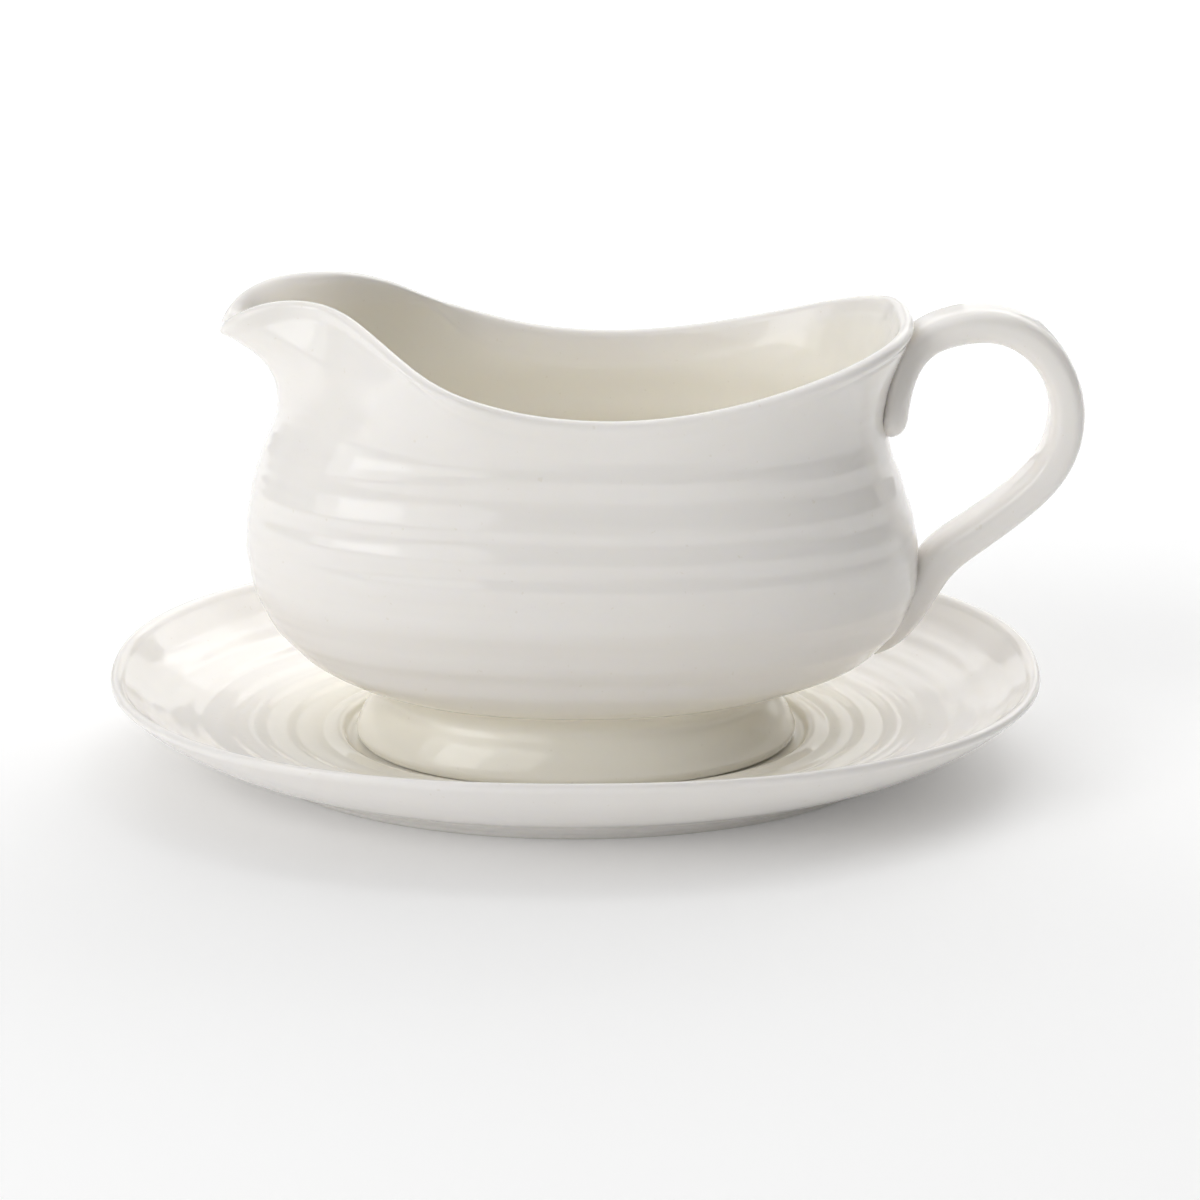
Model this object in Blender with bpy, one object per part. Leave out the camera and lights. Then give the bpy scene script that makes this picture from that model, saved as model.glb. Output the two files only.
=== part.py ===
"""Gravy boat on its oval stand: the stand, the spouted boat body and the strap handle luted to it.

Numbers are millimetres and become metres, by MM, where a mesh is made. X runs from the spout (-X)
to the handle (+X), Z is up, and the stand's foot ring rests on z = 0. The frame's origin is under
the middle of the whole set. Distances in the tables are from the middle of the stand, which is
also the middle of the boat's foot, and lies at STAND_MIDDLE_X because the handle reaches out past
the stand. Heights on the boat are from the bottom of its own foot, which sits SEAT_HEIGHT up.
"""

import math

import bmesh
import bpy
import numpy as np

MM = 0.001
FIT_GAP = 0.3

# Stand
STAND_MIDDLE_X = -4.5
OVAL_RATIO = 0.777
SQUARENESS_BY_REACH = ((60.0, 84.0, 117.5), (2.12, 2.0, 2.24))
STAND_RING_STEP = 7.8
STAND_RING_DEPTH = 0.45
WELL_FLOOR = 5.2

# Boat body
SEAT_HEIGHT = WELL_FLOOR + FIT_GAP
FOOT_LENGTH = 112.0
WALL = 3.4
RECESS_HEIGHT = 12.5
WAIST_HEIGHT = 13.0
FLOOR_HEIGHT = 16.8
INSIDE_FOOT_HEIGHT = 19.0
BODY_RING_STEP = 9.6
BODY_RING_DEPTH = 0.45
RING_BAND = (24.0, 88.0)

# Mesh density
BODY_COLUMNS = 76
STAND_COLUMNS = 48
END_CROWDING = 0.06
SHARP_ANGLE = math.radians(50)
STRAP_SIDES = 14
STRAP_STEPS = 36

# Stations of the boat's outer wall, foot to lip: height, front reach, back reach, half width,
# front squareness, back squareness.
WALL_STATIONS = np.array([
    (2.2, 56.1, 56.1, 43.5, 2.15, 2.15),
    (5.5, 54.6, 54.6, 42.4, 2.15, 2.15),
    (9.5, 51.8, 51.8, 40.2, 2.15, 2.15),
    (13.0, 49.8, 49.8, 38.6, 2.15, 2.15),
    (15.2, 50.8, 51.8, 39.4, 2.16, 2.16),
    (18.0, 57.0, 60.5, 42.9, 2.18, 2.18),
    (24.0, 69.2, 75.6, 47.3, 2.22, 2.22),
    (33.0, 77.4, 83.4, 50.2, 2.25, 2.25),
    (47.0, 82.4, 86.4, 52.1, 2.28, 2.28),
    (62.0, 81.8, 83.6, 50.4, 2.3, 2.32),
    (76.0, 78.0, 78.8, 47.6, 2.3, 2.38),
    (87.0, 74.2, 77.2, 46.7, 2.38, 2.46),
    (95.0, 75.3, 78.6, 47.3, 2.52, 2.62),
    (101.5, 80.9, 80.9, 48.4, 2.6, 2.78),
    (107.0, 89.3, 83.2, 49.2, 2.62, 2.8),
    (118.0, 97.0, 87.5, 50.4, 2.6, 2.8),
])
MIDDLE_SHIFT = 0.04

# The spout: distance forward, and the share of the half width drawn in there at the rim. The
# drawing-in fades to nothing down the wall and ends at SPOUT_FROM.
SPOUT_DRAW = np.array([
    (20, 0.0), (25, 0.0), (29, 0.011), (33, 0.038), (37, 0.08), (41, 0.14), (45, 0.21), (49, 0.293), (53, 0.383),
    (57, 0.47), (61, 0.536), (65, 0.574), (69, 0.588), (73, 0.584), (77, 0.565), (81, 0.535), (85, 0.5), (90, 0.46),
])
SPOUT_FROM = 74.0

# The rim seen from the side: distance along X, height.
RIM_LINE = np.array([
    (-96.5, 94.0), (-91.8, 100.6), (-88.2, 105.7), (-84.2, 110.5), (-80.0, 113.4), (-72.0, 115.9),
    (-64.0, 116.3), (-56.0, 115.0), (-48.0, 111.3), (-40.0, 106.6), (-32.0, 102.0), (-24.0, 98.9),
    (-14.0, 96.2), (0.0, 94.3), (10.0, 94.0), (24.0, 94.9), (40.0, 97.6), (56.0, 101.7), (72.0, 106.7),
    (84.3, 110.7), (90.0, 112.6),
])
RIM_SEARCH = (85.0, 117.0)

# The stand's section: reach along X, height, from under the middle round the lip and back.
STAND_UNDERSIDE = [(75.8, 2.2), (78.0, 0.0), (81.3, 0.0), (82.6, 1.4)]
STAND_OUTER = [(82.6, 1.4), (87.6, 4.2), (97.0, 8.0), (106.0, 13.0), (112.5, 17.8), (116.9, 21.9)]
STAND_LIP = [(116.9, 21.9), (117.7, 23.3), (117.1, 24.4), (115.8, 24.3), (114.2, 22.8)]
STAND_INNER = [(114.2, 22.8), (109.0, 18.2), (101.0, 13.6), (91.0, 10.2), (78.0, 8.0), (64.5, 6.9)]
STAND_WELL = [(64.5, 6.9), (61.6, 7.4), (59.6, 6.9), (58.4, 5.5), (57.4, 5.2)]

# The handle's middle line in the XZ plane, from the tab under the rim to the tail:
# X, height, width, thickness.
STRAP_LINE = np.array([
    (77.2, 80.2, 12.0, 2.6),
    (77.8, 82.4, 19.0, 4.6),
    (78.4, 87.0, 22.5, 6.0),
    (79.6, 93.0, 21.0, 6.6),
    (82.6, 99.2, 17.8, 7.6),
    (88.2, 104.0, 15.8, 8.4),
    (95.0, 106.4, 15.5, 8.7),
    (101.0, 107.1, 15.5, 8.8),
    (108.0, 105.9, 15.5, 8.8),
    (114.5, 102.0, 15.5, 8.8),
    (119.7, 95.2, 15.5, 8.5),
    (122.4, 86.5, 15.5, 8.7),
    (121.9, 77.5, 15.5, 8.8),
    (118.4, 69.5, 15.5, 8.8),
    (112.5, 62.8, 15.5, 8.8),
    (105.5, 57.0, 15.5, 8.9),
    (98.5, 51.8, 15.5, 9.2),
    (91.8, 46.2, 15.3, 9.6),
    (87.4, 39.2, 14.4, 9.2),
    (83.6, 31.8, 12.4, 8.0),
    (78.6, 25.8, 9.4, 6.8),
    (74.6, 22.6, 4.6, 5.0),
])
STRAP_SQUARENESS = 2.9
CUTTER_OVERRUN = 15.0

PORCELAIN = (0.86, 0.84, 0.80)
GLAZE_ROUGHNESS = 0.12


def smooth_curve(knots, values, at):
    """Natural cubic spline through (knots, values), read at the given places; values may have columns."""
    knots = np.asarray(knots, float)
    values = np.asarray(values, float).reshape(len(knots), -1)
    step = np.diff(knots)
    slope = np.diff(values, axis=0) / step[:, None]
    count = len(knots)
    system = np.eye(count)
    right = np.zeros_like(values)
    for i in range(1, count - 1):
        system[i, i - 1:i + 2] = step[i - 1], 2 * (step[i - 1] + step[i]), step[i]
        right[i] = 6 * (slope[i] - slope[i - 1])
    bend = np.linalg.solve(system, right)
    at = np.asarray(at, float)
    i = np.clip(np.searchsorted(knots, at.ravel()) - 1, 0, count - 2)
    h = step[i][:, None]
    a = (knots[i + 1][:, None] - at.reshape(-1, 1)) / h
    b = 1 - a
    out = a * values[i] + b * values[i + 1] + ((a**3 - a) * bend[i] + (b**3 - b) * bend[i + 1]) * h**2 / 6
    return out.reshape(at.shape + (values.shape[1],))


def path_length(points):
    """Distance along a polyline to each of its points."""
    steps = np.linalg.norm(np.diff(points, axis=0), axis=1)
    return np.concatenate([[0.0], np.cumsum(steps)])


def along(points, count):
    """The given number of points spaced evenly along a smooth curve through the points."""
    points = np.asarray(points, float)
    length = path_length(points)
    return smooth_curve(length, points, np.linspace(0, length[-1], count))


def superellipse(angle, squareness):
    """A point at each angle of an oval with both half widths 1: 2 is a circle, more is squarer."""
    cosine, sine = np.cos(angle), np.sin(angle)
    reach = (np.abs(cosine) ** squareness + np.abs(sine) ** squareness) ** (-1 / squareness)
    return cosine * reach, sine * reach


WALL_PLACE = path_length(WALL_STATIONS[:, :2])


def ease(t):
    """From 0 to 1 with a level start and finish."""
    t = np.clip(t, 0, 1)
    return t * t * (3 - 2 * t)


def plain_wall(angle, place):
    """X, Y and height of the boat's wall without its spout: angle 0 is the handle's side, pi the front."""
    row = smooth_curve(WALL_PLACE, WALL_STATIONS, place)
    height, front, back, half, front_square, back_square = np.moveaxis(row, -1, 0)
    middle = MIDDLE_SHIFT * height
    to_front = np.cos(angle) < 0
    reach = np.where(to_front, front + middle, back - middle)
    forward, sideways = superellipse(angle, np.where(to_front, front_square, back_square))
    return middle + reach * forward, half * sideways, height


def place_of_height(height):
    """Where along the stations the wall reaches a height."""
    fine = np.linspace(0, WALL_PLACE[-1], 2000)
    return np.interp(height, smooth_curve(WALL_PLACE, WALL_STATIONS[:, 0], fine)[:, 0], fine)


def rim_height_at(x):
    return smooth_curve(RIM_LINE[:, 0], RIM_LINE[:, 1], x)[..., 0]


def place_under_rim(angle, x_and_height):
    """Where along the stations x_and_height(angle, place) meets the rim line, found by halving."""
    low = np.full(angle.shape, place_of_height(RIM_SEARCH[0]))
    high = np.full(angle.shape, place_of_height(RIM_SEARCH[1]))
    for _ in range(30):
        middle = (low + high) / 2
        x, height = x_and_height(angle, middle)
        below = rim_height_at(x) > height
        low = np.where(below, middle, low)
        high = np.where(below, high, middle)
    return (low + high) / 2


def plain_x_and_height(angle, place):
    x, _, height = plain_wall(angle, place)
    return x, height


RIM_ANGLES = np.linspace(-math.pi, 3 * math.pi, 4001)
RIM_HEIGHTS = plain_wall(RIM_ANGLES, place_under_rim(RIM_ANGLES, plain_x_and_height))[2]


def wall_at_place(angle, place):
    """A point of the boat's outer wall, drawn in towards the spout as it rises to the rim."""
    x, y, height = plain_wall(angle, place)
    rise = (height - SPOUT_FROM) / (np.interp(angle, RIM_ANGLES, RIM_HEIGHTS) - SPOUT_FROM)
    forward = np.clip(-x, SPOUT_DRAW[0, 0], SPOUT_DRAW[-1, 0])
    share = smooth_curve(SPOUT_DRAW[:, 0], SPOUT_DRAW[:, 1], forward)[..., 0]
    return np.stack([x, y * (1 - share * ease(rise) ** 1.5), height], -1)


def column_angles(count):
    """Angles round the boat or the stand, closer together at the two ends."""
    even = np.linspace(0, 2 * math.pi, count, endpoint=False)
    return even - END_CROWDING * np.sin(2 * even)


def wall_normal(angle, place):
    """The wall's outward normal and its upward direction, from small steps either way."""
    small = 1e-3
    round_wall = wall_at_place(angle + small, place) - wall_at_place(angle - small, place)
    up_wall = wall_at_place(angle, place + small) - wall_at_place(angle, place - small)
    normal = np.cross(round_wall, up_wall)
    normal /= np.linalg.norm(normal, axis=-1, keepdims=True)
    up = up_wall / np.linalg.norm(up_wall, axis=-1, keepdims=True)
    return normal, up


def crest_x_and_height(angle, place):
    """The top of a round lip that begins at a place on the outer wall."""
    normal, _ = wall_normal(angle, place)
    crest = wall_at_place(angle, place) - normal * WALL / 2
    return crest[..., 0], crest[..., 2] + WALL / 2


def lip_place(angle):
    """Where along the stations the round lip begins, so that its top lies on the rim line."""
    return place_under_rim(angle, crest_x_and_height)


def ring_relief(height):
    """How far the throwing rings stand out of the wall at a height, fading at both ends of their band."""
    low, high = RING_BAND
    fade = np.clip((height - low) / BODY_RING_STEP, 0, 1) * np.clip((high - height) / BODY_RING_STEP, 0, 1)
    return BODY_RING_DEPTH * fade * np.sin(2 * math.pi * (height - low) / BODY_RING_STEP)


def outer_wall_rows(angle, lowest, clearance=0.0):
    """Rows of the boat's outer wall from a height up to just under the lip."""
    quarter = BODY_RING_STEP / 4
    foot_rows = np.array([2.2, 5.5, 9.5, 13.0, 15.2, 18.0, 21.0])
    ring_rows = np.arange(RING_BAND[0], RING_BAND[1], quarter)
    levels = np.concatenate([foot_rows, ring_rows])
    levels = levels[levels >= lowest]
    top_level = place_of_height(levels[-1])
    top = lip_place(angle)
    places = [np.full(angle.shape, place_of_height(level)) for level in levels]
    places += [top_level + (top - top_level) * share for share in (0.25, 0.5, 0.75, 1.0)]
    rows = []
    for place in places:
        point = wall_at_place(angle, place)
        normal, _ = wall_normal(angle, place)
        relief = ring_relief(point[..., 2]) + clearance
        rows.append(point + normal * relief[..., None])
    return rows


def lip_and_inside_rows(angle):
    """Rows over the round lip and down the inside to the middle of the floor."""
    top = lip_place(angle)
    point = wall_at_place(angle, top)
    normal, up = wall_normal(angle, top)
    middle = point - normal * WALL / 2
    rows = []
    for turn in (0.25, 0.5, 0.75):
        lean = math.pi * turn
        rows.append(middle + (normal * math.cos(lean) + up * math.sin(lean)) * WALL / 2)
    low = place_of_height(INSIDE_FOOT_HEIGHT)
    for share in (0.0, 0.06, 0.14, 0.24, 0.34, 0.44, 0.54, 0.64, 0.74, 0.83, 0.91, 1.0):
        place = top + (low - top) * share
        normal, _ = wall_normal(angle, place)
        rows.append(wall_at_place(angle, place) - normal * WALL)
    edge = rows[-1]
    floor = np.array([0.0, 0.0, FLOOR_HEIGHT])
    for share in (0.95, 0.87, 0.75, 0.55, 0.3):
        row = floor + (edge - floor) * share
        row[:, 2] = FLOOR_HEIGHT + (edge[:, 2] - FLOOR_HEIGHT) * share**5
        rows.append(row)
    return rows


def oval_rows(angle, section):
    """A row of the stand's oval, or the foot's, at each (reach, height) of a section."""
    rows = []
    for reach, height in section:
        x, y = superellipse(angle, np.interp(reach, *SQUARENESS_BY_REACH))
        rows.append(np.stack([x * reach, y * reach * OVAL_RATIO, np.full(angle.shape, height)], -1))
    return rows


def body_rows():
    """All rows of the boat body, from under the foot, up the outside and down the inside."""
    angle = column_angles(BODY_COLUMNS)
    foot_reach = FOOT_LENGTH / 2
    underside = [
        (25.0, RECESS_HEIGHT), (foot_reach - 12.0, RECESS_HEIGHT), (foot_reach - 10.4, RECESS_HEIGHT - 1.1),
        (foot_reach - 7.5, 4.0), (foot_reach - 5.4, 0.6), (foot_reach - 4.6, 0.0), (foot_reach - 1.4, 0.0),
        (foot_reach - 0.3, 0.6),
    ]
    return oval_rows(angle, underside) + outer_wall_rows(angle, 0.0) + lip_and_inside_rows(angle)


def stand_section():
    """The stand's section from under its middle round the lip to the middle of the well."""
    outer = along(STAND_OUTER, 7)
    lip = along(STAND_LIP, 6)
    inner = along(STAND_INNER, 27)
    well = along(STAND_WELL, 7)
    start, end = inner[0, 0], inner[-1, 0]
    fade = np.clip((start - inner[:, 0]) / STAND_RING_STEP, 0, 1) * np.clip(
        (inner[:, 0] - end) / STAND_RING_STEP, 0, 1)
    inner[:, 1] += STAND_RING_DEPTH * fade * np.sin(2 * math.pi * (inner[:, 0] - end) / STAND_RING_STEP)
    pieces = [np.array([(38.0, 2.2)] + STAND_UNDERSIDE), outer[1:], lip[1:], inner[1:], well[1:]]
    return np.concatenate(pieces + [np.array([(40.0, WELL_FLOOR)])])


def strap_rows():
    """Rounded oblong sections along the handle's middle line, across which Y is the strap's width."""
    line = along(STRAP_LINE[:, :2], STRAP_STEPS)
    length = path_length(STRAP_LINE[:, :2])
    size = smooth_curve(length, STRAP_LINE[:, 2:], np.linspace(0, length[-1], STRAP_STEPS))
    heading = np.gradient(line, axis=0)
    heading /= np.linalg.norm(heading, axis=1, keepdims=True)
    angle = np.linspace(0, 2 * math.pi, STRAP_SIDES, endpoint=False) + math.pi / STRAP_SIDES
    across, out = superellipse(angle, STRAP_SQUARENESS)
    rows = []
    for (x, z), (run, rise), (width, thickness) in zip(line, heading, size):
        rows.append(np.stack([
            x - rise * out * thickness / 2,
            across * width / 2,
            z + run * out * thickness / 2,
        ], -1))
    return rows


def closed_loft(name, rows):
    """A mesh through closed rows of points, finished at both ends by a point in the middle of the row."""
    bm = bmesh.new()
    rings = [[bm.verts.new(np.asarray(point) * MM) for point in row] for row in rows]
    count = len(rings[0])
    for lower, upper in zip(rings, rings[1:]):
        for i in range(count):
            j = (i + 1) % count
            bm.faces.new((lower[i], lower[j], upper[j], upper[i]))
    for ring, row, turned in ((rings[0], rows[0], True), (rings[-1], rows[-1], False)):
        middle = bm.verts.new(np.mean(row, axis=0) * MM)
        for i in range(count):
            j = (i + 1) % count
            corners = (ring[j], ring[i], middle) if turned else (ring[i], ring[j], middle)
            bm.faces.new(corners)
    bmesh.ops.triangulate(bm, faces=bm.faces[:])
    bmesh.ops.recalc_face_normals(bm, faces=bm.faces[:])
    mesh = bpy.data.meshes.new(name)
    bm.to_mesh(mesh)
    bm.free()
    mesh.shade_smooth()
    mesh.set_sharp_from_angle(angle=SHARP_ANGLE)
    return mesh


def new_collection(name):
    collection = bpy.data.collections.new(name)
    bpy.context.scene.collection.children.link(collection)
    return collection


def new_part(collection, name, mesh, colour, roughness):
    part = bpy.data.objects.new(name, mesh)
    collection.objects.link(part)
    material = bpy.data.materials.new(name)
    material.use_nodes = True
    shader = material.node_tree.nodes["Principled BSDF"]
    shader.inputs["Base Color"].default_value = (*colour, 1.0)
    shader.inputs["Roughness"].default_value = roughness
    shader.inputs["Metallic"].default_value = 0.0
    part.data.materials.append(material)
    return part


def new_cutter(collection, name, mesh):
    cutter = bpy.data.objects.new(name, mesh)
    cutter.hide_render = True
    cutter.display_type = "WIRE"
    collection.objects.link(cutter)
    return cutter


def make_boat_seat(collection):
    """The boat's lifting joint: the body and the handle hang from it."""
    seat = bpy.data.objects.new("boat_seat", None)
    seat.location = (STAND_MIDDLE_X * MM, 0.0, SEAT_HEIGHT * MM)
    collection.objects.link(seat)
    return seat


def make_stand(collection):
    angle = column_angles(STAND_COLUMNS)
    mesh = closed_loft("stand", oval_rows(angle, stand_section()))
    stand = new_part(collection, "stand", mesh, PORCELAIN, GLAZE_ROUGHNESS)
    stand.location.x = STAND_MIDDLE_X * MM
    return stand


def make_body(collection, seat):
    mesh = closed_loft("boat_body", body_rows())
    body = new_part(collection, "boat_body", mesh, PORCELAIN, GLAZE_ROUGHNESS)
    body.parent = seat
    return body


def make_wall_cutter(collection, seat):
    """The boat's outside as a solid, grown by the fit gap and carried up past the rim."""
    rows = outer_wall_rows(column_angles(BODY_COLUMNS), WAIST_HEIGHT, FIT_GAP)
    rows.append(rows[-1] + np.array([0.0, 0.0, CUTTER_OVERRUN]))
    cutter = new_cutter(collection, "wall_cutter", closed_loft("wall_cutter", rows))
    cutter.parent = seat
    return cutter


def make_handle(collection, seat, wall_cutter):
    mesh = closed_loft("boat_handle", strap_rows())
    handle = new_part(collection, "boat_handle", mesh, PORCELAIN, GLAZE_ROUGHNESS)
    handle.parent = seat
    cut = handle.modifiers.new("fit_to_wall", "BOOLEAN")
    cut.operation = "DIFFERENCE"
    cut.solver = "EXACT"
    cut.object = wall_cutter
    return handle


def main():
    for old in list(bpy.data.objects):
        bpy.data.objects.remove(old, do_unlink=True)
    parts = new_collection("gravy_boat")
    cutters = new_collection("cutters")
    seat = make_boat_seat(parts)
    make_stand(parts)
    make_body(parts, seat)
    make_handle(parts, seat, make_wall_cutter(cutters, seat))


main()
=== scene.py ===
"""Looks of the gravy boat and its oval stand: fine meshes in place of the CAD, glaze, floor, light."""
import math

import bpy
import numpy as np
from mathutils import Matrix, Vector


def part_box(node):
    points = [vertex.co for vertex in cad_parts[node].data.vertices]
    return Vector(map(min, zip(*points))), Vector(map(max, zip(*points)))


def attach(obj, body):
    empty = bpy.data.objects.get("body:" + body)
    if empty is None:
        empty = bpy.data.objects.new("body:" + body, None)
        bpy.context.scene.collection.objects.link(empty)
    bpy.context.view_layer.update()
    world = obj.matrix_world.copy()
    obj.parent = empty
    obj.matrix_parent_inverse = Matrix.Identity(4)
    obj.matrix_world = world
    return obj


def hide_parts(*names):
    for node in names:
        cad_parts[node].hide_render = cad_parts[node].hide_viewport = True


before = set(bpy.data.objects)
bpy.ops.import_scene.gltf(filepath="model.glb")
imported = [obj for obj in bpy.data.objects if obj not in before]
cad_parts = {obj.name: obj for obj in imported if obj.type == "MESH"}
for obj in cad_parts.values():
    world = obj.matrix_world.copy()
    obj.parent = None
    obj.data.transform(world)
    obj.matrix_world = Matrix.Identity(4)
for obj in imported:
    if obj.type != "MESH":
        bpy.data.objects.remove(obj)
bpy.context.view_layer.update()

# Tables below are in millimetres from the middle of the stand, heights on the boat from its own foot.
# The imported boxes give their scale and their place.
STAND_LOW, STAND_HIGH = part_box("stand")
TABLE_STAND_LENGTH = 235.3
MM = (STAND_HIGH[0] - STAND_LOW[0]) / TABLE_STAND_LENGTH
MIDDLE_X = (STAND_HIGH[0] + STAND_LOW[0]) / 2
SEAT_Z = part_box("boat_body")[0][2]

WALL = 3.4
FOOT_HOLLOW = 12.5  # height of the boat's underside inside its foot ring
BOAT_FOOT_INSIDE = [(44.0, FOOT_HOLLOW), (45.6, 11.4), (48.5, 4.0), (50.6, 0.6), (51.4, 0.0)]
BOAT_FOOT_EDGE = [(51.4, 0.0), (53.0, 0.0), (54.6, 0.0), (55.7, 0.6), (56.1, 2.2)]
FLOOR_HEIGHT = 16.8  # of the boat's inside
INSIDE_BOTTOM = 19.0  # where the inside of the wall turns into that floor
MIDDLE_SHIFT = 0.04  # how far the ovals of the wall drift back for each millimetre of height

# Plan of the stand and of the boat's foot: half width over half length, squareness by reach.
OVAL_RATIO = 0.777
SQUARENESS_BY_REACH = ((60.0, 84.0, 117.5), (2.12, 2.0, 2.24))

# Outer wall of the boat: height, front reach, back reach, half width, front squareness, back squareness.
WALL_STATIONS = np.array([
    (2.2, 56.1, 56.1, 43.5, 2.15, 2.15),
    (5.5, 54.6, 54.6, 42.4, 2.15, 2.15),
    (9.5, 51.8, 51.8, 40.2, 2.15, 2.15),
    (13.0, 49.8, 49.8, 38.6, 2.15, 2.15),
    (15.2, 50.8, 51.8, 39.4, 2.16, 2.16),
    (18.0, 57.0, 60.5, 42.9, 2.18, 2.18),
    (24.0, 69.2, 75.6, 47.3, 2.22, 2.22),
    (33.0, 77.4, 83.4, 50.2, 2.25, 2.25),
    (47.0, 82.4, 86.4, 52.1, 2.28, 2.28),
    (62.0, 81.8, 83.6, 50.4, 2.3, 2.32),
    (76.0, 78.0, 78.8, 47.6, 2.3, 2.38),
    (87.0, 74.2, 77.2, 46.7, 2.38, 2.46),
    (95.0, 75.3, 78.6, 47.3, 2.52, 2.62),
    (101.5, 80.9, 80.9, 48.4, 2.6, 2.78),
    (107.0, 89.3, 83.2, 49.2, 2.62, 2.8),
    (118.0, 97.0, 87.5, 50.4, 2.6, 2.8),
])

# The spout: how far forward, and the share of the half width drawn in there at the rim. It fades out
# downwards to SPOUT_FROM.
SPOUT_DRAW = np.array([
    (20, 0.0), (25, 0.0), (29, 0.011), (33, 0.038), (37, 0.08), (41, 0.14), (45, 0.21), (49, 0.293),
    (53, 0.383), (57, 0.47), (61, 0.536), (65, 0.574), (69, 0.588), (73, 0.584), (77, 0.565), (81, 0.535),
    (85, 0.5), (90, 0.46),
])
SPOUT_FROM = 74.0
SPOUT_GATHER = 1.5  # the higher, the nearer to the rim the wall is drawn in

# The rim from the side: X, height.
RIM_LINE = np.array([
    (-96.5, 94.0), (-91.8, 100.6), (-88.2, 105.7), (-84.2, 110.5), (-80.0, 113.4), (-72.0, 115.9),
    (-64.0, 116.3), (-56.0, 115.0), (-48.0, 111.3), (-40.0, 106.6), (-32.0, 102.0), (-24.0, 98.9),
    (-14.0, 96.2), (0.0, 94.3), (10.0, 94.0), (24.0, 94.9), (40.0, 97.6), (56.0, 101.7), (72.0, 106.7),
    (84.3, 110.7), (90.0, 112.6),
])
RIM_SEARCH = (85.0, 117.0)  # heights of the wall between which it is sure to cross the rim line
RIM_HALVINGS = 30

# Throwing rings left in the belly: height, how far they stand out.
BELLY_RINGS = np.array([
    (18.0, 0.0), (21.0, -0.2), (24.2, 0.3), (27.6, -0.36), (31.4, 0.42), (36.0, -0.34), (41.0, 0.36),
    (45.6, -0.24), (49.2, -0.18), (52.4, 0.26), (55.8, -0.24), (59.2, 0.3), (62.9, -0.28), (67.6, 0.33),
    (72.6, -0.3), (78.0, 0.32), (83.2, -0.22), (88.0, 0.12), (93.0, 0.0),
])
RING_STRENGTH = 0.68
RING_DRIFT = 0.55
INSIDE_RING_SHARE = 0.8
FINE_LINE_DEPTH = 0.016
FINE_LINE_STEP = 3.3
FINE_LINE_DRIFT = 0.8

# Relief at the lip: bead, crease under it outside, crease under it inside.
LIP_BEAD = 0.12
LIP_CREASE = 0.2
LIP_CREASE_BELOW = 3.0
INNER_CREASE = 0.14
INNER_CREASE_BELOW = 6.0

# How strongly the painted warm shade is laid on, 0 to 1: the cream cast of light bounced in the hollows,
# painted on the boat's foot, the boat's inside and the stand round the well.
FOOT_PAINTED_SHADE = 1.0
INSIDE_PAINTED_SHADE = 0.62
WELL_PAINTED_SHADE = 0.8

# Section of the stand from its foot ring round the lip to the well: reach, height.
STAND_BASE = 2.2
STAND_FOOT_INSIDE = [(75.8, STAND_BASE), (77.0, 0.7), (78.0, 0.0)]
STAND_FOOT_EDGE = [(81.3, 0.0), (82.1, 0.5), (82.6, 1.4)]
STAND_OUTER = [(82.6, 1.4), (87.6, 4.2), (97.0, 8.0), (106.0, 13.0), (112.5, 17.8), (116.9, 21.9)]
STAND_LIP = [(116.9, 21.9), (117.7, 23.3), (117.1, 24.4), (115.8, 24.3), (114.2, 22.8)]
STAND_INNER = [(114.2, 22.8), (109.0, 18.2), (101.0, 13.6), (91.0, 10.2), (78.0, 8.0), (64.5, 6.9)]
STAND_WELL = [(64.5, 6.9), (61.6, 7.4), (59.6, 6.9), (58.4, 5.5), (57.4, 5.2)]
WELL_FLOOR = 5.2
STAND_RING_STEP = 7.8
STAND_RING_DEPTH = 0.2
STAND_RING_DRIFT = 0.35

# The handle's middle line: X, height, width, thickness.
STRAP_LINE = np.array([
    (77.6, 79.6, 13.0, 3.4), (78.4, 81.8, 22.0, 6.2), (79.2, 86.6, 26.0, 7.6), (80.2, 92.6, 24.0, 7.8),
    (82.9, 99.0, 19.4, 8.0), (88.2, 104.0, 15.8, 8.4), (95.0, 106.4, 15.5, 8.7), (101.0, 107.1, 15.5, 8.8),
    (108.0, 105.9, 15.5, 8.8), (114.5, 102.0, 15.5, 8.8), (119.7, 95.2, 15.5, 8.5), (122.4, 86.5, 15.5, 8.7),
    (121.9, 77.5, 15.5, 8.8), (118.4, 69.5, 15.5, 8.8), (112.5, 62.8, 15.5, 8.8), (105.5, 57.0, 15.5, 8.9),
    (98.5, 51.8, 15.5, 9.2), (91.8, 46.2, 15.3, 9.6), (87.4, 39.2, 14.4, 9.2), (83.6, 31.8, 12.4, 8.0),
    (78.6, 25.8, 9.4, 6.8), (74.6, 22.6, 4.6, 5.0),
])
STRAP_SQUARENESS = 3.3
STRAP_SUNK = 1.0  # how far its ends run into the wall
TAIL_FILLET = 1.5  # how far the smear along the tail spreads on the wall
FILLET_RISE = 1.4
FILLET_TOP = 38.0

# The boat's rows run level up to here, then spread to follow the rim.
LEVEL_ROWS_TO = 80.0
BODY_COLUMNS = 248
STAND_COLUMNS = 288
STRAP_SIDES = 56
STRAP_STEPS = 200


# ---------------------------------------------------------------- curves

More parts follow.
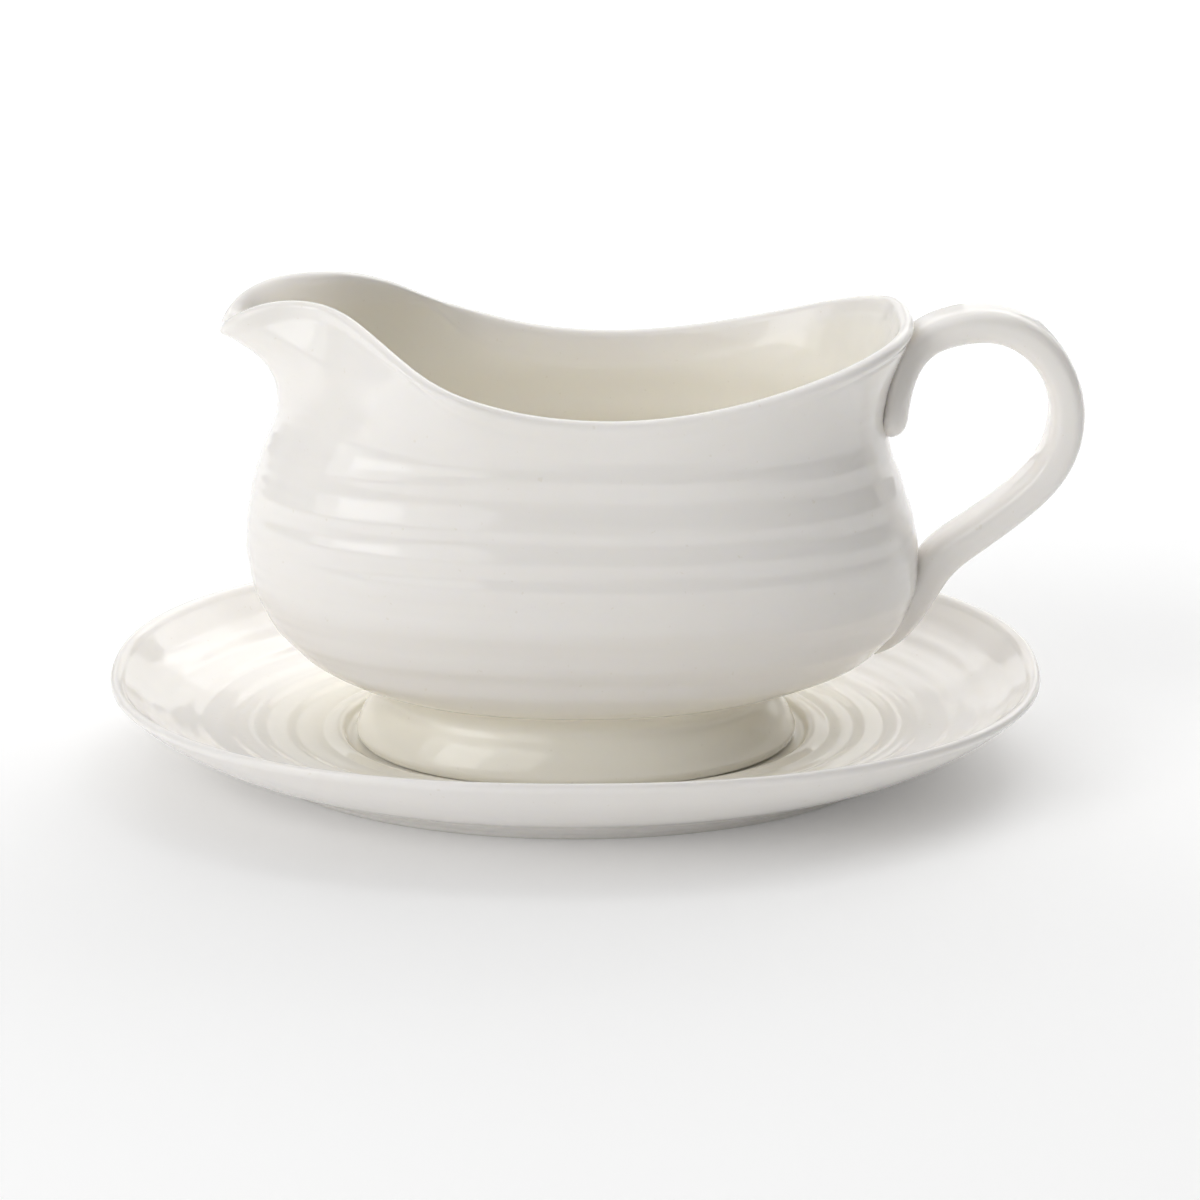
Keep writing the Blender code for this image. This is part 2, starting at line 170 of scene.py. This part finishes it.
def smooth_curve(knots, values, at):
    """Natural cubic spline through (knots, values), read at the given places; values may have columns."""
    knots = np.asarray(knots, float)
    values = np.asarray(values, float).reshape(len(knots), -1)
    step = np.diff(knots)
    slope = np.diff(values, axis=0) / step[:, None]
    count = len(knots)
    system = np.eye(count)
    right = np.zeros_like(values)
    for i in range(1, count - 1):
        system[i, i - 1:i + 2] = step[i - 1], 2 * (step[i - 1] + step[i]), step[i]
        right[i] = 6 * (slope[i] - slope[i - 1])
    bend = np.linalg.solve(system, right)
    at = np.asarray(at, float)
    i = np.clip(np.searchsorted(knots, at.ravel()) - 1, 0, count - 2)
    h = step[i][:, None]
    a = (knots[i + 1][:, None] - at.reshape(-1, 1)) / h
    b = 1 - a
    out = a * values[i] + b * values[i + 1] + ((a**3 - a) * bend[i] + (b**3 - b) * bend[i + 1]) * h**2 / 6
    return out.reshape(at.shape + (values.shape[1],))


def path_length(points):
    steps = np.linalg.norm(np.diff(points, axis=0), axis=1)
    return np.concatenate([[0.0], np.cumsum(steps)])


def along(points, count):
    """Evenly spaced points on a smooth curve through the given ones."""
    points = np.asarray(points, float)
    length = path_length(points)
    return smooth_curve(length, points, np.linspace(0, length[-1], count))


def superellipse(angle, squareness):
    """A point of the unit superellipse: squareness 2 is a circle."""
    cosine, sine = np.cos(angle), np.sin(angle)
    reach = (np.abs(cosine) ** squareness + np.abs(sine) ** squareness) ** (-1 / squareness)
    return cosine * reach, sine * reach


def ease(t):
    t = np.clip(t, 0, 1)
    return t * t * (3 - 2 * t)


def hand_wobble(angle, seed, harmonics=(2, 3, 5, 7)):
    """A slow, repeatable drift round the piece, about -1 to 1."""
    total = np.zeros_like(angle)
    for i, n in enumerate(harmonics):
        total += np.sin(n * angle + seed * (i + 1.7)) / (i + 1.5)
    return total


# ---------------------------------------------------------------- the boat's wall

WALL_PLACE = path_length(WALL_STATIONS[:, :2])


def wall_without_spout(angle, place):
    """X, Y and height of the outer wall as a plain oval: angle 0 is the handle's side, pi the spout."""
    row = smooth_curve(WALL_PLACE, WALL_STATIONS, place)
    height, front, back, half, front_square, back_square = np.moveaxis(row, -1, 0)
    middle = MIDDLE_SHIFT * height
    to_front = np.cos(angle) < 0
    reach = np.where(to_front, front + middle, back - middle)
    forward, sideways = superellipse(angle, np.where(to_front, front_square, back_square))
    return middle + reach * forward, half * sideways, height


def place_of_height(height):
    fine = np.linspace(0, WALL_PLACE[-1], 2000)
    return np.interp(height, smooth_curve(WALL_PLACE, WALL_STATIONS[:, 0], fine)[:, 0], fine)


def halve_to_rim(angle, below_rim):
    """Where along the stations each column of the wall meets the rim line, found by halving."""
    low = np.full(angle.shape, place_of_height(RIM_SEARCH[0]))
    high = np.full(angle.shape, place_of_height(RIM_SEARCH[1]))
    for _ in range(RIM_HALVINGS):
        middle = (low + high) / 2
        below = below_rim(middle)
        low = np.where(below, middle, low)
        high = np.where(below, high, middle)
    return (low + high) / 2


def rim_line_at(x):
    return smooth_curve(RIM_LINE[:, 0], RIM_LINE[:, 1], x)[..., 0]


def rim_place(angle):
    """Where the outer wall itself meets the rim line."""
    def below_rim(place):
        x, _, height = wall_without_spout(angle, place)
        return rim_line_at(x) > height
    return halve_to_rim(angle, below_rim)


RIM_ANGLES = np.linspace(-math.pi, 3 * math.pi, 4001)
RIM_HEIGHTS = wall_without_spout(RIM_ANGLES, rim_place(RIM_ANGLES))[2]


def wall_at_place(angle, place):
    """A point of the boat's outer wall, drawn in towards the spout as it rises to the rim."""
    x, y, height = wall_without_spout(angle, place)
    rise = (height - SPOUT_FROM) / (np.interp(angle, RIM_ANGLES, RIM_HEIGHTS) - SPOUT_FROM)
    forward = np.clip(-x, SPOUT_DRAW[0, 0], SPOUT_DRAW[-1, 0])
    share = smooth_curve(SPOUT_DRAW[:, 0], SPOUT_DRAW, forward)[..., 1]
    return np.stack([x, y * (1 - share * ease(rise) ** SPOUT_GATHER), height], -1)


def wall_frame(angle, place):
    """Point, outward normal and upward direction of the outer wall."""
    small = 1e-3
    point = wall_at_place(angle, place)
    round_wall = wall_at_place(angle + small, place) - wall_at_place(angle - small, place)
    up_wall = wall_at_place(angle, place + small) - wall_at_place(angle, place - small)
    normal = np.cross(round_wall, up_wall)
    normal /= np.linalg.norm(normal, axis=-1, keepdims=True)
    up = up_wall / np.linalg.norm(up_wall, axis=-1, keepdims=True)
    return point, normal, up


def lip_place(angle):
    """Where the round lip begins, so that its crest lies on the rim line."""
    def below_rim(place):
        point, normal, _ = wall_frame(angle, place)
        crest = point - normal * WALL / 2
        return rim_line_at(crest[..., 0]) > crest[..., 2] + WALL / 2
    return halve_to_rim(angle, below_rim)


def belly_relief(angle, height):
    """How far the throwing rings and the finer finger lines stand out, drifting a little round the boat."""
    drift = RING_DRIFT * hand_wobble(angle, 1.3)
    uneven = (1 + 0.3 * hand_wobble(angle, 4.1, (1, 2, 4))) * (1 - 0.5 * np.cos(angle)**6)
    strength = RING_STRENGTH * uneven
    at = np.clip(height + drift, BELLY_RINGS[0, 0], BELLY_RINGS[-1, 0])
    rings = strength * smooth_curve(BELLY_RINGS[:, 0], BELLY_RINGS[:, 1], at)[..., 0]
    faded = ease((height - 22) / 8) * ease((96 - height) / 10)
    turns = (height + FINE_LINE_DRIFT * hand_wobble(angle, 2.2)) / FINE_LINE_STEP
    fine = np.sin(2 * math.pi * turns) * (1 + 0.8 * hand_wobble(angle, 5.9, (1, 3, 5)))
    return rings + FINE_LINE_DEPTH * faded * fine


def lip_relief(below):
    """A slight bead at the lip with a soft crease under it, by distance below where the round lip begins."""
    crease = np.exp(-((below - LIP_CREASE_BELOW) / 1.3)**2)
    return LIP_BEAD * np.exp(-(below / 1.2)**2) - LIP_CREASE * crease


def body_rows():
    """Rows from the middle of the underside, up the wall, over the lip and down to the inside floor."""
    angle = np.linspace(0, 2 * math.pi, BODY_COLUMNS, endpoint=False)
    foot = along(BOAT_FOOT_INSIDE, 16)
    edge = along(BOAT_FOOT_EDGE, 12)
    under = [(r, FOOT_HOLLOW) for r in (6.0, 16.0, 28.0, 38.0)]
    rows = oval_rows(angle, under + [tuple(p) for p in foot] + [tuple(p) for p in edge[1:-1]])

    lip_top = lip_place(angle)
    level_top = place_of_height(LEVEL_ROWS_TO)
    low = [np.full(angle.shape, p) for p in np.linspace(0, level_top, 150)]
    high = [level_top + (lip_top - level_top) * s for s in np.linspace(0, 1, 56)[1:]]
    for place in low + high:
        point, normal, _ = wall_frame(angle, place)
        relief = belly_relief(angle, point[..., 2]) + lip_relief(lip_top - place)
        rows.append(point + normal * relief[..., None])

    point, normal, up = wall_frame(angle, lip_top)
    relief = belly_relief(angle, point[..., 2]) + lip_relief(0.0)
    point = point + normal * relief[..., None]
    middle = point - normal * WALL / 2
    for turn in np.linspace(0, math.pi, 15)[1:-1]:
        rows.append(middle + (normal * math.cos(turn) + up * math.sin(turn)) * WALL / 2)

    # Painted warm shade on the underside, the foot and the waist, fading out between 15 and 27 mm up.
    outside = np.array([row[:, 2].mean() for row in rows])
    painted_shade = FOOT_PAINTED_SHADE * (1 - ease((outside - 15.0) / 12.0))

    bottom = place_of_height(INSIDE_BOTTOM)
    for share in np.linspace(0, 1, 120) ** 0.9:
        place = lip_top + (bottom - lip_top) * share
        point, normal, _ = wall_frame(angle, place)
        crease = INNER_CREASE * ease((lip_top - place - INNER_CREASE_BELOW) / 1.6)
        relief = INSIDE_RING_SHARE * belly_relief(angle, point[..., 2]) - crease
        rows.append(point - normal * (WALL - relief)[..., None])
    edge = rows[-1]
    floor = np.array([0.0, 0.0, FLOOR_HEIGHT])
    for share in np.linspace(1, 0.05, 24)[1:]:
        row = floor + (edge - floor) * share
        row[:, 2] = FLOOR_HEIGHT + (edge[:, 2] - FLOOR_HEIGHT) * share**5
        rows.append(row)
    # Painted warm shade over the whole inside, growing in over the first twelve rows below the lip.
    inside = np.arange(len(rows) - len(painted_shade))
    return rows, np.concatenate([painted_shade, INSIDE_PAINTED_SHADE * ease(inside / 12)])


# ---------------------------------------------------------------- the stand

def oval_rows(angle, section):
    """One level oval row for each reach and height of the section."""
    rows = []
    for reach, height in section:
        x, y = superellipse(angle, np.interp(reach, *SQUARENESS_BY_REACH))
        rows.append(np.stack([x * reach, y * reach * OVAL_RATIO, np.full(angle.shape, height)], -1))
    return rows


def stand_rows():
    """Rows from the middle of the underside, over the lip and down to the middle of the well."""
    angle = np.linspace(0, 2 * math.pi, STAND_COLUMNS, endpoint=False)
    outer = along(STAND_OUTER, 60)
    lip = along(STAND_LIP, 20)
    inner = along(STAND_INNER, 120)
    well = along(STAND_WELL, 24)
    start, end = inner[0, 0], inner[-1, 0]
    fade = ease((start - inner[:, 0]) / STAND_RING_STEP) * ease((inner[:, 0] - end) / STAND_RING_STEP)
    under = [(r, STAND_BASE) for r in (8.0, 24.0, 40.0, 56.0, 68.0, 74.6)]
    foot = along(STAND_FOOT_INSIDE, 8)
    foot_edge = along(STAND_FOOT_EDGE, 6)
    plain = np.concatenate([under, foot, foot_edge, outer[1:], lip[1:]])
    rows = oval_rows(angle, plain)
    for (reach, height), keep in zip(inner[1:], fade[1:]):
        drift = STAND_RING_DRIFT * hand_wobble(angle, 2.2, (2, 3, 5))
        phase = 2 * math.pi * (reach - end + drift) / STAND_RING_STEP
        row = oval_rows(angle, [(reach, height)])[0]
        wave = np.sin(phase) + 0.3 * np.sin(2 * phase)
        uneven = (1 + 0.25 * hand_wobble(angle, 0.7, (1, 3))) * (1 - 0.55 * np.cos(angle)**8)
        row[:, 2] += STAND_RING_DEPTH * keep * wave * uneven
        rows.append(row)
    rows += oval_rows(angle, well[1:])
    rows += oval_rows(angle, [(r, WELL_FLOOR) for r in (56.0, 52.0, 44.0, 30.0, 14.0)])
    # Painted warm shade on the stand's top under the boat, fading out between 66 and 92 mm reach.
    reach = np.array([row[:, 0].max() for row in rows])
    on_top = np.arange(len(rows)) >= len(plain)
    return rows, WELL_PAINTED_SHADE * on_top * (1 - ease((reach - 66.0) / 26.0))


# ---------------------------------------------------------------- the handle

def back_wall_x(y, height):
    """X of the boat's outer wall on the handle's side at (y, height)."""
    row = smooth_curve(WALL_PLACE, WALL_STATIONS, place_of_height(height))
    _, _, back, half, _, square = np.moveaxis(row, -1, 0)
    middle = MIDDLE_SHIFT * height
    across = np.clip(np.abs(y) / half, 0, 0.999)
    return middle + (back - middle) * (1 - across**square) ** (1 / square)


def strap_rows():
    """Rows along the strap, its ends sunk into the wall and its tail smeared out on it."""
    line = along(STRAP_LINE[:, :2], STRAP_STEPS)
    length = path_length(STRAP_LINE[:, :2])
    size = smooth_curve(length, STRAP_LINE[:, 2:], np.linspace(0, length[-1], STRAP_STEPS))
    heading = np.gradient(line, axis=0)
    heading /= np.linalg.norm(heading, axis=1, keepdims=True)
    angle = np.linspace(0, 2 * math.pi, STRAP_SIDES, endpoint=False) + math.pi / STRAP_SIDES
    across, out = superellipse(angle, STRAP_SQUARENESS)
    rows = []
    for (x, z), (run, rise), (width, thickness) in zip(line, heading, size):
        row = np.stack([
            x - rise * out * thickness / 2,
            across * width / 2,
            z + run * out * thickness / 2,
        ], -1)
        off_wall = np.maximum(row[:, 0] - back_wall_x(row[:, 1], row[:, 2]), 0)
        spread = TAIL_FILLET * np.exp(-off_wall / FILLET_RISE)
        row[:, 1] += np.sign(across) * spread * (1 - ease((row[:, 2] - FILLET_TOP) / 8.0))
        skin = back_wall_x(row[:, 1], row[:, 2]) - STRAP_SUNK
        row[:, 0] = np.maximum(row[:, 0], skin)
        rows.append(row)
    return rows, np.zeros(len(rows))


# ---------------------------------------------------------------- meshes

# Name of the mesh attribute that holds the painted warm shade.
SHADE_ATTRIBUTE = "painted_warm_shade"


def loft(name, rows, lift, painted_shade):
    """A closed smooth mesh through closed rows of points, with a fan at both ends.

    The last argument says for each row how strongly the painted warm shade is laid on there, 0 to 1.
    """
    count = len(rows[0])
    points = np.concatenate(rows + [rows[0].mean(0)[None], rows[-1].mean(0)[None]])
    points = points * MM + np.array([MIDDLE_X, 0.0, lift])
    first, last = len(points) - 2, len(points) - 1
    i = np.arange(count)
    j = (i + 1) % count
    faces = []
    for r in range(len(rows) - 1):
        a, b = r * count, (r + 1) * count
        faces += np.stack([a + i, a + j, b + j, b + i], -1).tolist()
    end = (len(rows) - 1) * count
    faces += np.stack([j, i, np.full(count, first)], -1).tolist()
    faces += np.stack([end + i, end + j, np.full(count, last)], -1).tolist()
    mesh = bpy.data.meshes.new(name)
    mesh.from_pydata(points.tolist(), [], faces)
    mesh.validate()
    mesh.shade_smooth()
    # Painted warm shade for each point, kept as a mesh attribute for the glaze.
    by_point = np.append(np.repeat(painted_shade, count), (painted_shade[0], painted_shade[-1]))
    mesh.attributes.new(SHADE_ATTRIBUTE, "FLOAT", "POINT").data.foreach_set("value", by_point.astype(np.float32))
    piece = bpy.data.objects.new(name, mesh)
    bpy.context.scene.collection.objects.link(piece)
    return piece


PORCELAIN = (0.935, 0.907, 0.875)
PORCELAIN_CLOUD = (0.927, 0.897, 0.857)
# Painted warm shade: the cream cast of light bounced in the hollows.
PORCELAIN_PAINTED_SHADE = (0.945, 0.908, 0.81)
PORCELAIN_SPECK = (0.78, 0.73, 0.63)
BARE_CHINA = (0.83, 0.81, 0.76)
GLOSS = (0.045, 0.09)  # roughness where the glaze is sharpest and dullest
BARE_ROUGHNESS = 0.6

# In metres: how large the glaze's clouds, specks, changes of gloss and ripples are, and the ripples' depth.
CLOUD_SIZE = 0.045
SPECK_SIZE = 0.0016
GLOSS_SIZE = 0.012
RIPPLE_SIZE = 0.006
RIPPLE_DEPTH = 0.00012
BARE_RING_HEIGHT = 0.0003
BARE_RING_EDGE = 0.0004


def glaze(name, foot_ring_height):
    """Clear glaze over warm bone china: faint cloudiness and specks, painted warm shade in the hollows,
    uneven gloss, a bare foot ring.
    """
    material = bpy.data.materials.new(name)
    material.use_nodes = True
    nodes, links = material.node_tree.nodes, material.node_tree.links
    shader = nodes["Principled BSDF"]
    shader.inputs["IOR"].default_value = 1.5
    shader.inputs["Subsurface Weight"].default_value = 0.12
    shader.inputs["Subsurface Radius"].default_value = (1.0, 0.85, 0.55)
    shader.inputs["Subsurface Scale"].default_value = 0.006
    place = nodes.new("ShaderNodeTexCoord").outputs["Object"]

    def noise(size, detail):
        texture = nodes.new("ShaderNodeTexNoise")
        texture.inputs["Scale"].default_value = 1.0 / size
        texture.inputs["Detail"].default_value = detail
        links.new(place, texture.inputs["Vector"])
        return texture.outputs["Fac"]

    def spread(value, low, high, to_low, to_high):
        mapped = nodes.new("ShaderNodeMapRange")
        links.new(value, mapped.inputs["Value"])
        ends = {"From Min": low, "From Max": high, "To Min": to_low, "To Max": to_high}
        for socket, number in ends.items():
            mapped.inputs[socket].default_value = number
        return mapped.outputs["Result"]

    def mix(share, first, second):
        blend = nodes.new("ShaderNodeMix")
        blend.data_type = "RGBA"
        for socket, given in ((blend.inputs[0], share), (blend.inputs[6], first), (blend.inputs[7], second)):
            if isinstance(given, tuple):
                socket.default_value = (*given, 1)
            else:
                links.new(given, socket)
        return blend.outputs[2]

    cloud = spread(noise(CLOUD_SIZE, 3.0), 0.35, 0.65, 0.0, 1.0)
    body = mix(cloud, PORCELAIN, PORCELAIN_CLOUD)
    # Painted warm shade, read from the mesh attribute, mixed into the colour.
    painted_shade_node = nodes.new("ShaderNodeAttribute")
    painted_shade_node.attribute_name = SHADE_ATTRIBUTE
    body = mix(painted_shade_node.outputs["Fac"], body, PORCELAIN_PAINTED_SHADE)
    speck = spread(noise(SPECK_SIZE, 1.0), 0.74, 0.8, 0.0, 0.35)
    body = mix(speck, body, PORCELAIN_SPECK)

    height = nodes.new("ShaderNodeSeparateXYZ")
    links.new(place, height.inputs["Vector"])
    bare = spread(height.outputs["Z"], foot_ring_height, foot_ring_height + BARE_RING_EDGE, 1.0, 0.0)
    links.new(mix(bare, body, BARE_CHINA), shader.inputs["Base Color"])

    gloss = spread(noise(GLOSS_SIZE, 2.0), 0.3, 0.7, GLOSS[0], GLOSS[1])
    matt = nodes.new("ShaderNodeMath")
    matt.operation = "MAXIMUM"
    links.new(gloss, matt.inputs[0])
    links.new(spread(bare, 0.0, 1.0, 0.0, BARE_ROUGHNESS), matt.inputs[1])
    links.new(matt.outputs[0], shader.inputs["Roughness"])

    bump = nodes.new("ShaderNodeBump")
    bump.inputs["Strength"].default_value = 0.35
    bump.inputs["Distance"].default_value = RIPPLE_DEPTH
    links.new(noise(RIPPLE_SIZE, 2.0), bump.inputs["Height"])
    links.new(bump.outputs["Normal"], shader.inputs["Normal"])
    return material


# Each piece: its name, its rows, the height it stands at, the node it replaces, its body, its slot.
for name, (rows, painted_shade), lift, node, rides_on, slot in (
        ("stand_glazed", stand_rows(), 0.0, "stand", "stand", "stand_glaze"),
        ("boat_body_glazed", body_rows(), SEAT_Z, "boat_body", "boat", "boat_glaze"),
        ("boat_handle_glazed", strap_rows(), SEAT_Z, "boat_handle", "boat", "boat_glaze")):
    piece = loft(name, rows, lift, painted_shade)
    piece.data.materials.append(glaze(name, lift + BARE_RING_HEIGHT))
    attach(piece, rides_on)
    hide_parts(node)


# ---------------------------------------------------------------- floor, light, camera

# The table top glows, painted light that is weaker near the middle, so the shadow round the stand stays
# deep, and stronger away from it: distance and glow, near and far.
TABLE_GLOW = {"Min": (0.12, 0.085), "Max": (1.4, 0.4)}
TABLE_REACH = 12.0


def floor():
    """A plain pale table top with a matt surface that glows, painted light that is weaker near the middle.
    """
    mesh = bpy.data.meshes.new("floor")
    corners = [(x * TABLE_REACH, y * TABLE_REACH, 0) for x, y in ((-1, -1), (1, -1), (1, 1), (-1, 1))]
    mesh.from_pydata(corners, [], [(0, 1, 2, 3)])
    plane = bpy.data.objects.new("floor", mesh)
    bpy.context.scene.collection.objects.link(plane)
    material = bpy.data.materials.new("floor")
    material.use_nodes = True
    shader = material.node_tree.nodes["Principled BSDF"]
    shader.inputs["Base Color"].default_value = (0.93, 0.93, 0.93, 1)
    shader.inputs["Roughness"].default_value = 1.0
    shader.inputs["Specular IOR Level"].default_value = 0.0
    shader.inputs["Emission Color"].default_value = (1, 1, 1, 1)
    nodes, links = material.node_tree.nodes, material.node_tree.links
    # Painted light: the floor's glow grows with distance from the middle.
    distance = nodes.new("ShaderNodeVectorMath")
    distance.operation = "LENGTH"
    links.new(nodes.new("ShaderNodeTexCoord").outputs["Object"], distance.inputs[0])
    glow = nodes.new("ShaderNodeMapRange")
    links.new(distance.outputs["Value"], glow.inputs["Value"])
    for end, (reach, strength) in TABLE_GLOW.items():
        glow.inputs["From " + end].default_value = reach
        glow.inputs["To " + end].default_value = strength
    links.new(glow.outputs["Result"], shader.inputs["Emission Strength"])
    mesh.materials.append(material)
    return plane


def area_light(name, place, aim, size, power):
    light = bpy.data.lights.new(name, "AREA")
    light.shape = "RECTANGLE"
    light.size, light.size_y = size
    light.energy = power
    lamp = bpy.data.objects.new(name, light)
    bpy.context.scene.collection.objects.link(lamp)
    lamp.location = place
    lamp.rotation_euler = Vector(aim - place).to_track_quat("-Z", "Y").to_euler()


floor()

# Softboxes round the table: name, degrees round from the front, degrees up, distance, width, height, watts.
LIGHTS = (
    ("left_front", 315, 26, 2.0, 2.2, 1.5, 14.4),
    ("left_bright", 310, 26, 1.9, 0.8, 1.0, 5.0),
    ("left", 300, 26, 2.0, 2.2, 1.5, 1.0),
    ("left_back", 230, 24, 1.5, 1.1, 1.3, 1.6),
    ("back_left", 205, 24, 1.5, 1.1, 1.3, 1.5),
    ("back", 180, 24, 1.5, 1.1, 1.3, 3.0),
    ("back_right", 155, 24, 1.5, 1.1, 1.3, 3.0),
    ("right_back", 130, 24, 1.5, 1.1, 1.3, 3.0),
    ("right_back_high", 135, 52, 1.6, 1.6, 1.7, 7.6),
    ("back_high", 180, 52, 1.6, 1.6, 1.7, 4.6),
    ("left_back_high", 225, 52, 1.6, 1.5, 1.7, 1.0),
    ("left_high", 315, 58, 1.6, 1.5, 1.5, 2.4),
    ("top", 0, 90, 1.6, 1.8, 1.6, 6.4),
)
LIGHT_AIM = np.array([0, 0, 0.06])
for name, turn, rise, distance, width, height, power in LIGHTS:
    turn, rise = math.radians(turn), math.radians(rise)
    away = np.array([math.sin(turn) * math.cos(rise), -math.cos(turn) * math.cos(rise), math.sin(rise)])
    area_light(name, LIGHT_AIM + distance * away, LIGHT_AIM, (width, height), power)

ROOM_GLOW = 0.025
world = bpy.data.worlds.new("studio")
bpy.context.scene.world = world
world.use_nodes = True
world.node_tree.nodes["Background"].inputs["Color"].default_value = (1, 1, 1, 1)
world.node_tree.nodes["Background"].inputs["Strength"].default_value = ROOM_GLOW

bpy.context.scene.view_settings.view_transform = "Standard"
bpy.context.scene.view_settings.look = "None"

# The camera looks at the stand's middle from the front; it aims a little above it to frame the boat.
CAMERA_SIDE_MM = 6.2
CAMERA_RANGE_MM = 1000.0
CAMERA_HEIGHT_ANGLE = math.radians(20.0)
AIM_ABOVE_MIDDLE = math.radians(2.2)
SENSOR = 36.0
LENS = 116.8

camera_data = bpy.data.cameras.new("camera")
camera = bpy.data.objects.new("camera", camera_data)
bpy.context.scene.collection.objects.link(camera)
camera_data.sensor_width = SENSOR
camera_data.lens = LENS
camera_data.clip_start = 0.01
camera_range = CAMERA_RANGE_MM * MM
camera.location = (
    MIDDLE_X + CAMERA_SIDE_MM * MM,
    -camera_range * math.cos(CAMERA_HEIGHT_ANGLE),
    camera_range * math.sin(CAMERA_HEIGHT_ANGLE),
)
camera.rotation_euler = (math.pi / 2 - (CAMERA_HEIGHT_ANGLE - AIM_ABOVE_MIDDLE), 0, 0)
bpy.context.scene.camera = camera
